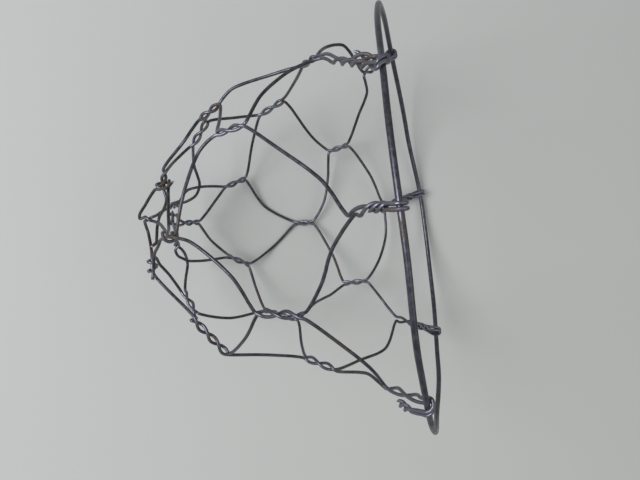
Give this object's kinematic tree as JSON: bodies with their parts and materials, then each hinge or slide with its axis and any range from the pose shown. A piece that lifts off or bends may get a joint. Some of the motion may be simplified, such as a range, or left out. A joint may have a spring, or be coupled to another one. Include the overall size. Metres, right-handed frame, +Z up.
{
  "type": "wire net basket",
  "caption": "Deep round-bottomed basket of hand-twisted hexagonal wire net, hooked onto a heavy round wire hoop that frames its mouth.",
  "frame": {"origin": "centre of the bounding box's underside, at the height of the surface that the basket lies on", "axes": "+Z up; the basket lies on its side with its mouth toward +X, tipped up by 23.8 degrees, and its closed end toward -X; +Y runs along the hoop's level diameter, away from a viewer who has the mouth on their right"},
  "size_m": [0.2324, 0.2712, 0.2526],
  "materials": {
    "hoop_wire": "dark, worn and dull, with a soft sheen along the wire",
    "net_wire": "grey, worn galvanizing, paler on the twists and browner where it has rusted"
  },
  "bodies": {
    "root": {"hoop": "hoop_wire", "net_strand_1a": "net_wire", "net_strand_1b": "net_wire", "net_strand_2a": "net_wire", "net_strand_2b": "net_wire", "net_strand_3a": "net_wire", "net_strand_3b": "net_wire", "net_strand_4a": "net_wire", "net_strand_4b": "net_wire", "net_strand_5a": "net_wire", "net_strand_5b": "net_wire", "net_strand_6a": "net_wire", "net_strand_6b": "net_wire"}
  },
  "joints": []
}
